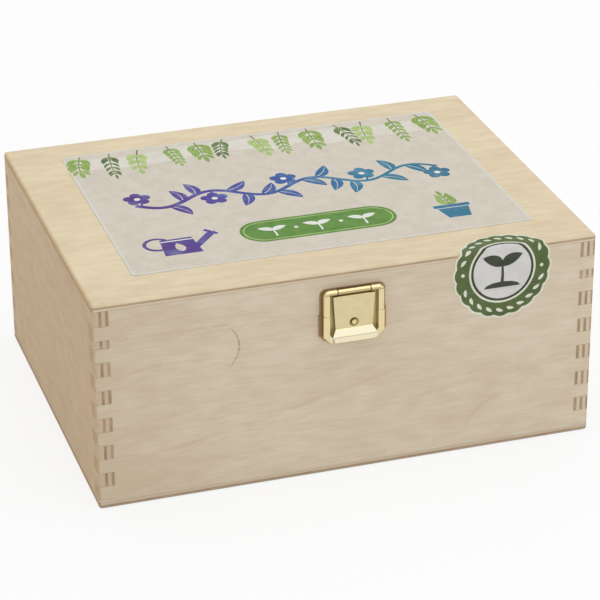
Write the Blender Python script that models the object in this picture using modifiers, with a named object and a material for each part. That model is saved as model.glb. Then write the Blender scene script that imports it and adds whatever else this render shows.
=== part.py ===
"""A seed organizer box of finger-jointed plywood, with a sawn-off lid, butt hinges and a flap latch.

Metres, +Z up. The origin is the middle of the underside, and the latch faces -Y. The four walls and both
panels are glued up as one closed box. A saw then takes the lid off, so the finger joints run on through
the cut, and every outer edge is rounded over in one go.
"""

import math

import bmesh
import bpy
from mathutils import Euler

# Box
BOX_WIDTH = 0.240
BOX_DEPTH = 0.1814
BOX_HEIGHT = 0.1033
LID_HEIGHT = 0.0207
WALL = 0.0075
PANEL = 0.0032
EDGE_RADIUS = 0.0014
SAW_KERF = 0.003
FINGER = 0.007
LOWEST_FINGER_TOP = 0.0046
THIN_FINGER = 0.0006

# Dividers, with their top edges below the seam
DIVIDER = 0.003
DIVIDER_DROP = 0.0173
CROSS_DIVIDERS = 2

# Butt hinges on the rear
HINGE_INSET = 0.045
HINGE_WIDTH = 0.024
HINGE_LEAF_HEIGHT = 0.0110
HINGE_SHEET = 0.0008
HINGE_PIN_RADIUS = 0.0008
HINGE_CORNER = 0.0015
HINGE_NAIL_SPREAD = 0.0145
HINGE_NAIL_DROP = 0.0068

# Flap latch on the front. Each rise is above the seam, each drop is below it, and each of the flap's insets
# is in from the side of its widest place, the flare. The bead's inner edge is rounded by a share of its outer's
LATCH_X = 0.0008
LATCH_WIDTH = 0.0321
LATCH_STEP = 0.0005
LATCH_FOOT = 0.0014
LATCH_RISE = 0.0126
LATCH_DROP = 0.0136
LATCH_CORNER = 0.0030
LATCH_CHAMFER = 0.0032
LATCH_DEPTH = 0.0036
LATCH_SHEET = 0.0006
BEAD_WIDTH = 0.0032
BEAD_TOP_WIDTH = 0.0023
BEAD_ROUND = 0.0014
BEAD_INNER_SHARE = 0.45
LATCH_PIN_RADIUS = 0.0006
PIN_GRIP = 0.0025
KNUCKLE_INSET = 0.0028
NECK_DEPTH = 0.0019
SHOULDER_DROP = 0.0008
FLAP_TOP_INSET = 0.0007
FLAP_WAIST_INSET = 0.0018
FLAP_LIP_INSET = 0.0007
FLAP_WAIST_DROP = 0.0072
FLAP_FLARE_DROP = 0.0104
FLAP_BOTTOM_DROP = 0.0140
FLAP_PLATE_DEPTH = 0.0030
FLAP_LIP_DEPTH = 0.0049
FLAP_CURL = 0.0012
CURL_TURN = 75
LIP_TAPER = 0.0022
LIP_TAPER_HEIGHT = 0.0014
RIVET_DROP = 0.0043
RIVET_SHANK = 0.0008
RIVET_RECESS = 0.0021
RIVET_RECESS_DEPTH = 0.0003
SPRING_SHEET = 0.0003
SPRING_WIDTH = 0.0060
CATCH_DROP = 0.0078
CATCH_WIDTH = 0.0070
CATCH_RADIUS = 0.0008
LATCH_NAIL_INSET = 0.0040
LID_NAIL_RISE = 0.0042
BASE_NAIL_DROP = 0.0041

# The rolled rivet's head, out from its middle as points of radius and rise, and its turned-over tail
RIVET_HEAD = ((0.0, 0.00030), (0.00035, 0.00035), (0.0006, 0.00065), (0.0010, 0.00060), (0.0014, 0.00025))
RIVET_TAIL = 0.0013

# Nails, with the dome's points as shares of the head's radius and height
NAIL_HEAD_RADIUS = 0.0014
NAIL_HEAD = 0.0006
NAIL_DOME = ((0.0, 1.0), (0.6, 0.85), (0.95, 0.35), (1.0, 0.0))
NAIL_SHANK = 0.0006
NAIL_LENGTH = 0.0062

# Paper. The seal's middle is above the seam and in from the right side
PAPER = 0.00015
LABEL_LEFT_INSET = 0.0250
LABEL_RIGHT_INSET = 0.0220
LABEL_FRONT_INSET = 0.0238
LABEL_REAR_INSET = 0.0176
LABEL_CORNER = 0.0015
SEAL_INSET = 0.0464
SEAL_RISE = 0.0092
SEAL_RADIUS = 0.0241
SEAL_SCALLOPS = 20
SEAL_SCALLOP_DEPTH = 0.0009
LOBE_SHARE = 0.55

# Clearances
GLUE_GAP = 0.0001
SEAM_GAP = 0.0001
SEAT_GAP = 0.0001
PAPER_GAP = 0.00005
DIVIDER_FIT = 0.0003
SHEET_GAP = 0.0002
FLAP_SIDE_GAP = 0.0008
RUNNING_FIT = 0.00006
OUT_OF_FLUSH = 0.00005
LEAF_GAP = 0.0003

# Fineness
ROUND_SEGMENTS = 3
BEAD_SEGMENTS = 5
PIN_SIDES = 20
NAIL_SIDES = 12
OVERCUT = 0.002
TOLERANCE = 0.000001

# Places
FRONT = -BOX_DEPTH / 2
REAR = BOX_DEPTH / 2
SEAM_HEIGHT = BOX_HEIGHT - LID_HEIGHT
BASE_LOW = PANEL + GLUE_GAP
BASE_HIGH = SEAM_HEIGHT - SEAM_GAP / 2
LID_LOW = SEAM_HEIGHT + SEAM_GAP / 2
LID_HIGH = BOX_HEIGHT - PANEL - GLUE_GAP
HINGE_X = BOX_WIDTH / 2 - HINGE_INSET
LATCH_TOP = SEAM_HEIGHT + LATCH_RISE
LATCH_BOTTOM = SEAM_HEIGHT - LATCH_DROP
FLAP_WAIST = SEAM_HEIGHT - FLAP_WAIST_DROP
FLAP_FLARE = SEAM_HEIGHT - FLAP_FLARE_DROP
FLAP_BOTTOM = SEAM_HEIGHT - FLAP_BOTTOM_DROP
RIVET_HEIGHT = SEAM_HEIGHT - RIVET_DROP
CATCH_HEIGHT = SEAM_HEIGHT - CATCH_DROP
SEAL_X = BOX_WIDTH / 2 - SEAL_INSET
SEAL_HEIGHT = SEAM_HEIGHT + SEAL_RISE

QUARTER = math.pi / 2
FACING_FRONT = (QUARTER, 0, 0)
FACING_REAR = (QUARTER, 0, math.pi)
FACING_RIGHT = (QUARTER, 0, QUARTER)
FACING_LEFT = (QUARTER, 0, -QUARTER)


# Objects and materials


def collection(name):
    made = bpy.data.collections.new(name)
    bpy.context.scene.collection.children.link(made)
    return made


def material(name, colour, metallic=0.0, roughness=0.6):
    made = bpy.data.materials.new(name)
    made.use_nodes = True
    shader = made.node_tree.nodes["Principled BSDF"]
    shader.inputs["Base Color"].default_value = (*colour, 1.0)
    shader.inputs["Metallic"].default_value = metallic
    shader.inputs["Roughness"].default_value = roughness
    return made


for old in list(bpy.data.objects):
    bpy.data.objects.remove(old)
PARTS = collection("seed_box")
CUTTERS = collection("cutters")
PLYWOOD = material("birch_plywood", (0.62, 0.51, 0.36))
BRASS = material("brass_plate", (0.76, 0.58, 0.27), 1.0, 0.25)
SPRING_STEEL = material("spring_steel", (0.55, 0.55, 0.54), 1.0, 0.3)
LABEL_PAPER = material("label_paper", (0.64, 0.61, 0.56))
SEAL_PAPER = material("seal_paper", (0.11, 0.22, 0.05))


def part(name, mesh, finish, location=(0, 0, 0), rotation=(0, 0, 0)):
    made = bpy.data.objects.new(name, mesh)
    PARTS.objects.link(made)
    made.location = location
    made.rotation_euler = rotation
    if not mesh.materials:
        mesh.materials.append(finish)
    return made


def cutter(name, mesh, location=(0, 0, 0), rotation=(0, 0, 0)):
    made = bpy.data.objects.new(name, mesh)
    CUTTERS.objects.link(made)
    made.location = location
    made.rotation_euler = rotation
    made.hide_render = True
    made.display_type = "WIRE"
    return made


def boolean(target, other, operation, solver="EXACT"):
    modifier = target.modifiers.new(other.name, "BOOLEAN")
    modifier.operation = operation
    modifier.object = other
    modifier.solver = solver


def shade_round(mesh):
    mesh.shade_smooth()
    mesh.set_sharp_from_angle(angle=math.radians(35))


# Shapes


def plate(name, outlines, thickness):
    """A mesh of closed outlines in the local XY plane, half the thickness to each side of it."""
    curve = bpy.data.curves.new(name, "CURVE")
    curve.dimensions = "2D"
    curve.fill_mode = "BOTH"
    curve.extrude = thickness / 2
    for outline in outlines:
        spline = curve.splines.new("POLY")
        spline.points.add(len(outline) - 1)
        for point, (x, y) in zip(spline.points, outline):
            point.co = (x, y, 0, 1)
        spline.use_cyclic_u = True
    flat = bpy.data.objects.new(name, curve)
    bpy.context.scene.collection.objects.link(flat)
    graph = bpy.context.evaluated_depsgraph_get()
    mesh = bpy.data.meshes.new_from_object(flat.evaluated_get(graph))
    bpy.data.objects.remove(flat)
    bm = bmesh.new()
    bm.from_mesh(mesh)
    bmesh.ops.remove_doubles(bm, verts=bm.verts, dist=1e-7)
    bmesh.ops.dissolve_limit(bm, angle_limit=0.001, verts=bm.verts, edges=bm.edges)
    bm.to_mesh(mesh)
    bm.free()
    mesh.name = name
    return mesh


def block(name, size):
    mesh = bpy.data.meshes.new(name)
    bm = bmesh.new()
    bmesh.ops.create_cube(bm, size=1.0)
    bmesh.ops.scale(bm, vec=size, verts=bm.verts)
    bm.to_mesh(mesh)
    bm.free()
    return mesh


def rod(name, radius, length, sides=PIN_SIDES):
    """A cylinder along local X."""
    mesh = bpy.data.meshes.new(name)
    bm = bmesh.new()
    bmesh.ops.create_cone(bm, cap_ends=True, segments=sides, radius1=radius, radius2=radius, depth=length)
    bmesh.ops.rotate(bm, verts=bm.verts, matrix=Euler((0, QUARTER, 0)).to_matrix())
    bm.to_mesh(mesh)
    bm.free()
    shade_round(mesh)
    return mesh


def turned(name, profile, sides):
    """A mesh that holds a profile of (radius, height) points, top to bottom, for a Screw about local Z."""
    mesh = bpy.data.meshes.new(name)
    points = [(radius, 0, height) for radius, height in profile]
    mesh.from_pydata(points, [(i, i + 1) for i in range(len(points) - 1)], [])
    mesh["sides"] = sides
    return mesh


def screw(made):
    modifier = made.modifiers.new("turn", "SCREW")
    modifier.steps = made.data["sides"]
    modifier.render_steps = made.data["sides"]
    modifier.use_merge_vertices = True
    modifier.merge_threshold = 0.00001
    modifier.use_smooth_shade = True


def arc(centre, radius, start, end, steps):
    """Points on an arc, with its angles in degrees from local X."""
    angles = [math.radians(start + (end - start) * i / steps) for i in range(steps + 1)]
    return [(centre[0] + radius * math.cos(a), centre[1] + radius * math.sin(a)) for a in angles]


def rounded_rectangle(left, low, right, high, radius):
    corners = [(right, high, 0), (left, high, 90), (left, low, 180), (right, low, 270)]
    points = []
    for x, y, start in corners:
        centre_x = x - math.copysign(radius, x - (left + right) / 2)
        centre_y = y - math.copysign(radius, y - (low + high) / 2)
        points += arc((centre_x, centre_y), radius, start, start + 90, ROUND_SEGMENTS)
    return points


def mirrored(right_side):
    """A closed outline from the points of its right side, listed from bottom to top."""
    return right_side + [(-x, y) for x, y in reversed(right_side)]


def strip(path, thickness):
    """The closed outline of a bent sheet whose middle follows the path."""
    left, right = [], []
    for i, (x, y) in enumerate(path):
        before, after = path[max(i - 1, 0)], path[min(i + 1, len(path) - 1)]
        angle_in = math.atan2(y - before[1], x - before[0])
        angle_out = math.atan2(after[1] - y, after[0] - x)
        if i == 0:
            angle_in = angle_out
        if i == len(path) - 1:
            angle_out = angle_in
        turn = math.remainder(angle_out - angle_in, 2 * math.pi)
        across = angle_in + turn / 2 + QUARTER
        reach = thickness / 2 / math.cos(turn / 2)
        left.append((x + reach * math.cos(across), y + reach * math.sin(across)))
        right.append((x - reach * math.cos(across), y - reach * math.sin(across)))
    return left + right[::-1]


def round_bead(made, inner_x, inner_y, cut_y):
    """Rounds the front edges of a bead, those on its inner outline by a smaller share, and its cut ends not."""
    mesh = made.data
    top = max(vertex.co.z for vertex in mesh.vertices)
    weights = mesh.attributes.new("bevel_weight_edge", "FLOAT", "EDGE")
    for edge in mesh.edges:
        ends = [mesh.vertices[i].co for i in edge.vertices]
        if all(top - end.z < TOLERANCE for end in ends):
            inside = all(abs(end.x) < inner_x + TOLERANCE and end.y < inner_y + TOLERANCE for end in ends)
            cut = all(abs(end.y - cut_y) < TOLERANCE for end in ends)
            weights.data[edge.index].value = 0.0 if cut else BEAD_INNER_SHARE if inside else 1.0
    modifier = made.modifiers.new("rounding", "BEVEL")
    modifier.limit_method = "WEIGHT"
    modifier.width = BEAD_ROUND
    modifier.segments = BEAD_SEGMENTS
    shade_round(mesh)


# The glued-up box


def make_envelope():
    """The rounded outer form that every wall and panel is sanded down to."""
    made = cutter("outer_form", block("outer_form", (BOX_WIDTH, BOX_DEPTH, BOX_HEIGHT)), (0, 0, BOX_HEIGHT / 2))
    modifier = made.modifiers.new("rounding", "BEVEL")
    modifier.width = EDGE_RADIUS
    modifier.segments = ROUND_SEGMENTS
    return made


def side_fingers(low, high, dropped):
    """The spans of height at which the side walls' fingers show. A board from above the kerf has dropped."""
    spans = []
    top = LOWEST_FINGER_TOP - dropped
    while top - FINGER < high - THIN_FINGER:
        start = low if top - FINGER < low + THIN_FINGER else top - FINGER
        end = high if top > high - THIN_FINGER else top
        if end > low + THIN_FINGER:
            spans.append((start, end))
        top += 2 * FINGER
    return spans


def spans_between(spans, low, high):
    levels = [low] + [level for span in spans for level in span] + [high]
    pairs = zip(levels[::2], levels[1::2])
    return [(start, end) for start, end in pairs if end > start]


def board_outline(length, low, high, notches):
    """A board's outline, its ends cut back by the neighbour's thickness at the notches."""
    outside = length / 2 + OVERCUT
    inside = length / 2 - WALL - GLUE_GAP
    edge = []
    level = low
    for start, end in notches:
        start = start - GLUE_GAP / 2 if start > low else low
        end = end + GLUE_GAP / 2 if end < high else high
        if start > level:
            edge += [(outside, level), (outside, start)]
        edge += [(inside, start), (inside, end)]
        level = end
    if level < high:
        edge += [(outside, level), (outside, high)]
    return mirrored(edge)


def make_walls(body, low, high, dropped, envelope):
    """The four walls of the base or the lid, as a dictionary by side."""
    side_spans = side_fingers(low, high, dropped)
    front_spans = spans_between(side_spans, low, high)
    thickness = WALL + OVERCUT
    out = (WALL - OVERCUT) / 2
    across = [board_outline(BOX_WIDTH, low, high, side_spans)]
    along = [board_outline(BOX_DEPTH, low, high, front_spans)]
    places = {
        "front": (across, (0, FRONT + out, 0), FACING_FRONT),
        "rear": (across, (0, REAR - out, 0), FACING_REAR),
        "left": (along, (-BOX_WIDTH / 2 + out, 0, 0), FACING_LEFT),
        "right": (along, (BOX_WIDTH / 2 - out, 0, 0), FACING_RIGHT),
    }
    walls = {}
    # This solver keeps the fingers' edges whole where they meet the form's rounded edge
    for side, (outline, location, rotation) in places.items():
        name = f"{body}_{side}_wall"
        walls[side] = part(name, plate(name, outline, thickness), PLYWOOD, location, rotation)
        boolean(walls[side], envelope, "INTERSECT", solver="MANIFOLD")
    return walls


def make_panel(name, low, high, envelope):
    size = (BOX_WIDTH + 2 * OVERCUT, BOX_DEPTH + 2 * OVERCUT, high - low)
    made = part(name, block(name, size), PLYWOOD, (0, 0, (low + high) / 2))
    boolean(made, envelope, "INTERSECT")
    return made


# Dividers


def lapped_outline(length, slots, slots_open_up):
    """A divider's outline, with a half-height slot at each of the given places along it."""
    low, high = BASE_LOW, SEAM_HEIGHT - DIVIDER_DROP
    half = DIVIDER / 2 + GLUE_GAP
    middle = (low + high) / 2 + (-GLUE_GAP if slots_open_up else GLUE_GAP)
    level, far = (high, low) if slots_open_up else (low, high)
    edge = [(-length / 2, far), (-length / 2, level)]
    for place in slots:
        edge += [(place - half, level), (place - half, middle)]
        edge += [(place + half, middle), (place + half, level)]
    return edge + [(length / 2, level), (length / 2, far)]


def make_dividers():
    inside_width = BOX_WIDTH - 2 * WALL
    inside_depth = BOX_DEPTH - 2 * WALL
    pitch = (inside_depth + DIVIDER) / (CROSS_DIVIDERS + 1)
    rows = [pitch * (i + 1) - DIVIDER / 2 - inside_depth / 2 for i in range(CROSS_DIVIDERS)]
    name = "centre_divider"
    outline = lapped_outline(inside_depth - 2 * DIVIDER_FIT, rows, slots_open_up=False)
    part(name, plate(name, [outline], DIVIDER), PLYWOOD, (0, 0, 0), FACING_RIGHT)
    outline = lapped_outline(inside_width - 2 * DIVIDER_FIT, [0.0], slots_open_up=True)
    for i, row in enumerate(rows):
        name = f"cross_divider_{i + 1}"
        part(name, plate(name, [outline], DIVIDER), PLYWOOD, (0, row, 0), FACING_FRONT)


# Nails


def nail_profile():
    head = [(NAIL_HEAD_RADIUS * out, NAIL_HEAD * up) for out, up in NAIL_DOME]
    return head + [(NAIL_SHANK, 0.0), (NAIL_SHANK, NAIL_SHANK * 2 - NAIL_LENGTH), (0.0, -NAIL_LENGTH)]


def drive_nail(name, wall, x, z, sheet_front, outward):
    """A round-headed nail through a sheet whose outer face is at sheet_front, with its pilot hole in the wall.

    outward is -1 on the front and +1 on the rear.
    """
    seat = sheet_front + outward * SEAT_GAP
    rotation = (-outward * QUARTER, 0, 0)
    nail = part(name, turned(name, nail_profile(), NAIL_SIDES), BRASS, (x, seat, z), rotation)
    screw(nail)
    length = NAIL_LENGTH + 2 * SEAT_GAP
    hole = rod(f"{name}_pilot", NAIL_SHANK + SEAT_GAP, 2 * length, NAIL_SIDES)
    boolean(wall, cutter(f"{name}_pilot", hole, (x, seat, z), (0, 0, QUARTER)), "DIFFERENCE")


# Hinges


HINGE_KNUCKLE_RADIUS = HINGE_PIN_RADIUS + HINGE_SHEET
HINGE_AXIS_Y = REAR + SEAT_GAP + HINGE_KNUCKLE_RADIUS
LEAF_FRONT = REAR + SEAT_GAP + HINGE_SHEET


def leaf_outline(knuckles):
    """A leaf below its axis at local Y 0: rounded lower corners, and a tab up to each knuckle."""
    shoulder = -HINGE_KNUCKLE_RADIUS - LEAF_GAP
    half = HINGE_WIDTH / 2
    low = -HINGE_LEAF_HEIGHT
    centre = (half - HINGE_CORNER, low + HINGE_CORNER)
    points = arc((-centre[0], centre[1]), HINGE_CORNER, 180, 270, ROUND_SEGMENTS)
    points += arc(centre, HINGE_CORNER, 270, 360, ROUND_SEGMENTS)
    for start, end in reversed(knuckles):
        top = [(end, 0), (start, 0)]
        points += ([(end, shoulder)] if end < half else []) + top
        points += [(start, shoulder)] if start > -half else []
    if knuckles[-1][1] < half:
        points.insert(2 * ROUND_SEGMENTS + 2, (half, shoulder))
    if knuckles[0][0] > -half:
        points.append((-half, shoulder))
    return points


def make_leaf(name, x, knuckles, upward):
    """A hinge leaf with rolled knuckles. The lid's leaf points up, the base's down."""
    holes = [
        arc((side * HINGE_NAIL_SPREAD / 2, -HINGE_NAIL_DROP), NAIL_SHANK + SEAT_GAP, 0, 330, NAIL_SIDES - 1)
        for side in (-1, 1)
    ]
    mesh = plate(name, [leaf_outline(knuckles)] + holes, HINGE_SHEET)
    middle_y = REAR + SEAT_GAP + HINGE_SHEET / 2
    rotation = FACING_REAR if not upward else (QUARTER, math.pi, math.pi)
    leaf = part(name, mesh, BRASS, (x, middle_y, SEAM_HEIGHT), rotation)
    flip = -1 if not upward else 1
    for i, (start, end) in enumerate(knuckles):
        place = (x + flip * (start + end) / 2, HINGE_AXIS_Y, SEAM_HEIGHT)
        roll_name = f"{name}_knuckle_{i + 1}"
        boolean(leaf, cutter(roll_name, rod(roll_name, HINGE_KNUCKLE_RADIUS, end - start), place), "UNION")
    bore = rod(f"{name}_bore", HINGE_PIN_RADIUS + RUNNING_FIT, HINGE_WIDTH + 2 * OVERCUT)
    boolean(leaf, cutter(f"{name}_bore", bore, (x, HINGE_AXIS_Y, SEAM_HEIGHT)), "DIFFERENCE")
    return leaf


def make_hinge(side, x, base_wall, lid_wall):
    third = HINGE_WIDTH / 6
    half = HINGE_WIDTH / 2
    base_knuckles = [(-half, -third - LEAF_GAP / 2), (third + LEAF_GAP / 2, half)]
    lid_knuckles = [(-third + LEAF_GAP / 2, third - LEAF_GAP / 2)]
    make_leaf(f"{side}_hinge_base_leaf", x, base_knuckles, upward=False)
    make_leaf(f"{side}_hinge_lid_leaf", x, lid_knuckles, upward=True)
    name = f"{side}_hinge_pin"
    part(name, rod(name, HINGE_PIN_RADIUS, HINGE_WIDTH), BRASS, (x, HINGE_AXIS_Y, SEAM_HEIGHT))
    for i, offset in enumerate((-HINGE_NAIL_SPREAD / 2, HINGE_NAIL_SPREAD / 2)):
        low, high = SEAM_HEIGHT - HINGE_NAIL_DROP, SEAM_HEIGHT + HINGE_NAIL_DROP
        drive_nail(f"{side}_hinge_base_nail_{i + 1}", base_wall, x + offset, low, LEAF_FRONT, 1)
        drive_nail(f"{side}_hinge_lid_nail_{i + 1}", lid_wall, x + offset, high, LEAF_FRONT, 1)


# Latch, whose local Z points out of the front


LATCH_BACK = FRONT - SEAT_GAP
LATCH_PIN_HEIGHT = LATCH_TOP - LATCH_PIN_RADIUS - LATCH_SHEET
KNUCKLE_RADIUS = LATCH_PIN_RADIUS + LATCH_SHEET
LATCH_PIN_DEPTH = LATCH_DEPTH - KNUCKLE_RADIUS
FOOT_HALF = LATCH_WIDTH / 2
LATCH_HALF = FOOT_HALF - LATCH_FOOT
BEAD_INSIDE = LATCH_HALF - BEAD_WIDTH
BEAD_INNER_TOP = LATCH_TOP - BEAD_TOP_WIDTH
LATCH_NAIL_X = BEAD_INSIDE - LATCH_NAIL_INSET
FLARE_HALF = BEAD_INSIDE - FLAP_SIDE_GAP
LIP_HALF = FLARE_HALF - FLAP_LIP_INSET
KNUCKLE_WIDTH = 2 * (FLARE_HALF - KNUCKLE_INSET)
FLAP_SHOULDER = LATCH_PIN_HEIGHT - KNUCKLE_RADIUS - SHOULDER_DROP


def latch_layer(name, outline, depth, maker, finish=None):
    """A plate on the front wall, standing out to the given depth."""
    mesh = plate(name, [outline], depth - SEAT_GAP)
    location = (LATCH_X, FRONT - (depth + SEAT_GAP) / 2, 0)
    if maker is part:
        return part(name, mesh, finish, location, FACING_FRONT)
    return cutter(name, mesh, location, FACING_FRONT)


def latch_corner(half, top):
    """The rounded upper right corner of a plate, from its side to its top."""
    centre = (half - LATCH_CORNER, top - LATCH_CORNER)
    return arc(centre, LATCH_CORNER, 0, 90, BEAD_SEGMENTS)


def across_latch(name, radius, length, depth, height):
    return cutter(name, rod(name, radius, length), (LATCH_X, FRONT - depth, height))


def make_latch_plate(lid_wall):
    """The half on the lid: a nailed foot plate and a rounded bead that carries the flap's pin."""
    low = LID_LOW
    foot_half = FOOT_HALF - LATCH_STEP
    foot = mirrored([(foot_half, low)] + latch_corner(foot_half, LATCH_TOP - OUT_OF_FLUSH))
    made = latch_layer("latch_plate", foot, LATCH_SHEET + SEAT_GAP, part, BRASS)
    right = [(BEAD_INSIDE, BEAD_INNER_TOP), (BEAD_INSIDE, low), (LATCH_HALF, low)]
    right += latch_corner(LATCH_HALF, LATCH_TOP)
    bead = latch_layer("latch_plate_bead", mirrored(right), LATCH_DEPTH, cutter)
    round_bead(bead, BEAD_INSIDE, BEAD_INNER_TOP, low)
    boolean(made, bead, "UNION")
    gap = KNUCKLE_WIDTH + 2 * SHEET_GAP
    room = block("knuckle_room", (gap, LATCH_DEPTH, 4 * BEAD_TOP_WIDTH))
    room_y = LATCH_BACK - LATCH_SHEET - LATCH_DEPTH / 2
    boolean(made, cutter("knuckle_room", room, (LATCH_X, room_y, LATCH_TOP)), "DIFFERENCE")
    length = KNUCKLE_WIDTH + 2 * (PIN_GRIP + SEAT_GAP)
    bore = LATCH_PIN_RADIUS + RUNNING_FIT
    boolean(made, across_latch("latch_bore", bore, length, LATCH_PIN_DEPTH, LATCH_PIN_HEIGHT), "DIFFERENCE")
    nail_latch(made, lid_wall, "latch_plate_nail", SEAM_HEIGHT + LID_NAIL_RISE)
    return made


def make_keeper(base_wall):
    """The half on the base: the bead runs on down, turns in at the corners and leaves room for the flap's lip."""
    low, high = LATCH_BOTTOM, BASE_HIGH
    chamfer_high = low + LATCH_CHAMFER
    foot_low = low + OUT_OF_FLUSH
    foot = [(FOOT_HALF - LATCH_CHAMFER, foot_low), (FOOT_HALF, foot_low + LATCH_CHAMFER), (FOOT_HALF, high)]
    made = latch_layer("latch_keeper", mirrored(foot), LATCH_SHEET + SEAT_GAP, part, BRASS)
    lip_side = LIP_HALF + SHEET_GAP
    bar = [
        (LATCH_HALF, high),
        (LATCH_HALF, chamfer_high),
        (LATCH_HALF - LATCH_CHAMFER, low),
        (lip_side, low),
        (lip_side, chamfer_high),
        (BEAD_INSIDE, chamfer_high + BEAD_INSIDE - lip_side),
        (BEAD_INSIDE, high),
    ]
    for side, name in ((1, "keeper_right_bead"), (-1, "keeper_left_bead")):
        outline = [(side * x, y) for x, y in bar]
        bead = latch_layer(name, outline, LATCH_DEPTH, cutter)
        round_bead(bead, BEAD_INSIDE, high, high)
        boolean(made, bead, "UNION")
    catch = across_latch("catch", CATCH_RADIUS, CATCH_WIDTH, SEAT_GAP + CATCH_RADIUS, CATCH_HEIGHT)
    boolean(made, catch, "UNION")
    nail_latch(made, base_wall, "keeper_nail", SEAM_HEIGHT - BASE_NAIL_DROP)
    return made


def nail_latch(sheet, wall, name, height):
    """Two nails through the back plate, each with its hole in the plate and in the wall."""
    for side, offset in (("left", -LATCH_NAIL_X), ("right", LATCH_NAIL_X)):
        x = LATCH_X + offset
        hole_name = f"{side}_{name}_hole"
        hole = rod(hole_name, NAIL_SHANK + SEAT_GAP, 2 * OVERCUT, NAIL_SIDES)
        boolean(sheet, cutter(hole_name, hole, (x, LATCH_BACK, height), (0, 0, QUARTER)), "DIFFERENCE")
        drive_nail(f"{side}_{name}", wall, x, height, LATCH_BACK - LATCH_SHEET, -1)


def flap_path():
    """The middle of the flap's sheet, as (depth, height), from the knuckle's neck down to the curled lip."""
    half = LATCH_SHEET / 2
    plate_depth = FLAP_PLATE_DEPTH - half
    lip_depth = FLAP_LIP_DEPTH - half
    curl_centre = (lip_depth - FLAP_CURL, FLAP_BOTTOM + FLAP_CURL + half)
    curl = arc(curl_centre, FLAP_CURL, 0, -CURL_TURN, ROUND_SEGMENTS)
    neck = [(NECK_DEPTH, LATCH_PIN_HEIGHT - LATCH_PIN_RADIUS), (NECK_DEPTH, FLAP_SHOULDER + half)]
    return neck + [(plate_depth, FLAP_SHOULDER - half), (plate_depth, FLAP_WAIST), (lip_depth, FLAP_FLARE)] + curl


def make_flap():
    """The flap: one bent sheet, cut to its front outline, rolled round the pin at the top."""
    name = "latch_flap"
    sheet = plate(name, [strip(flap_path(), LATCH_SHEET)], LATCH_WIDTH)
    flap = part(name, sheet, BRASS, (LATCH_X, FRONT, 0), FACING_LEFT)
    right = [
        (LIP_HALF - LIP_TAPER, FLAP_BOTTOM - OUT_OF_FLUSH),
        (LIP_HALF, FLAP_BOTTOM + LIP_TAPER_HEIGHT),
        (LIP_HALF, FLAP_FLARE - LATCH_SHEET),
        (FLARE_HALF, FLAP_FLARE - LATCH_SHEET / 2),
        (FLARE_HALF, FLAP_FLARE + LATCH_SHEET / 2),
        (FLARE_HALF - FLAP_WAIST_INSET, FLAP_WAIST),
        (FLARE_HALF - FLAP_TOP_INSET, FLAP_SHOULDER),
        (KNUCKLE_WIDTH / 2, FLAP_SHOULDER),
        (KNUCKLE_WIDTH / 2, LATCH_TOP + OVERCUT),
    ]
    front = plate("flap_outline", [mirrored(right)], 4 * FLAP_LIP_DEPTH)
    boolean(flap, cutter("flap_outline", front, (LATCH_X, FRONT, 0), FACING_FRONT), "INTERSECT")
    roll = across_latch("flap_roll", KNUCKLE_RADIUS, KNUCKLE_WIDTH, LATCH_PIN_DEPTH, LATCH_PIN_HEIGHT)
    boolean(flap, roll, "UNION")
    bore = LATCH_PIN_RADIUS + RUNNING_FIT
    boolean(flap, across_latch("flap_bore", bore, LATCH_WIDTH, LATCH_PIN_DEPTH, LATCH_PIN_HEIGHT), "DIFFERENCE")
    place = (LATCH_X, FRONT - FLAP_PLATE_DEPTH, RIVET_HEIGHT)
    along_y = (0, 0, QUARTER)
    recess = rod("rivet_recess", RIVET_RECESS, 2 * RIVET_RECESS_DEPTH)
    boolean(flap, cutter("rivet_recess", recess, place, along_y), "DIFFERENCE")
    hole = rod("rivet_hole", RIVET_SHANK + SEAT_GAP / 2, 4 * LATCH_SHEET)
    boolean(flap, cutter("rivet_hole", hole, place, along_y), "DIFFERENCE")
    return flap


def make_spring():
    """The catch spring behind the flap: a strip held by the rivet, bent round the keeper's catch."""
    name = "latch_spring"
    behind_flap = FLAP_PLATE_DEPTH - LATCH_SHEET - SEAT_GAP / 2
    depth = behind_flap - SPRING_SHEET / 2
    nose = SEAT_GAP + 2 * CATCH_RADIUS + SHEET_GAP + SPRING_SHEET / 2
    tip = CATCH_HEIGHT - 2 * CATCH_RADIUS
    path = [
        (depth, RIVET_HEIGHT + SPRING_WIDTH / 2),
        (depth, CATCH_HEIGHT + CATCH_RADIUS),
        (nose, tip),
        (nose + CATCH_RADIUS, tip - CATCH_RADIUS),
    ]
    mesh = plate(name, [strip(path, SPRING_SHEET)], SPRING_WIDTH)
    spring = part(name, mesh, SPRING_STEEL, (LATCH_X, FRONT, 0), FACING_LEFT)
    hole = rod("spring_hole", RIVET_SHANK + SEAT_GAP / 2, 4 * LATCH_SHEET)
    place = (LATCH_X, FRONT - depth, RIVET_HEIGHT)
    boolean(spring, cutter("spring_hole", hole, place, (0, 0, QUARTER)), "DIFFERENCE")


def make_rivet():
    """The rivet that holds the spring, its rolled head down in a round recess of the flap."""
    floor = FLAP_PLATE_DEPTH - RIVET_RECESS_DEPTH + SEAT_GAP / 2
    back = FLAP_PLATE_DEPTH - LATCH_SHEET - SEAT_GAP - SPRING_SHEET
    profile = [(radius, floor + rise) for radius, rise in RIVET_HEAD]
    profile += [(profile[-1][0], floor), (RIVET_SHANK, floor), (RIVET_SHANK, back), (RIVET_TAIL, back)]
    profile += [(RIVET_TAIL, back - SPRING_SHEET / 2), (0.0, back - SPRING_SHEET)]
    name = "latch_rivet"
    rivet = part(name, turned(name, profile, PIN_SIDES), BRASS, (LATCH_X, FRONT, RIVET_HEIGHT), FACING_FRONT)
    screw(rivet)


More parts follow.
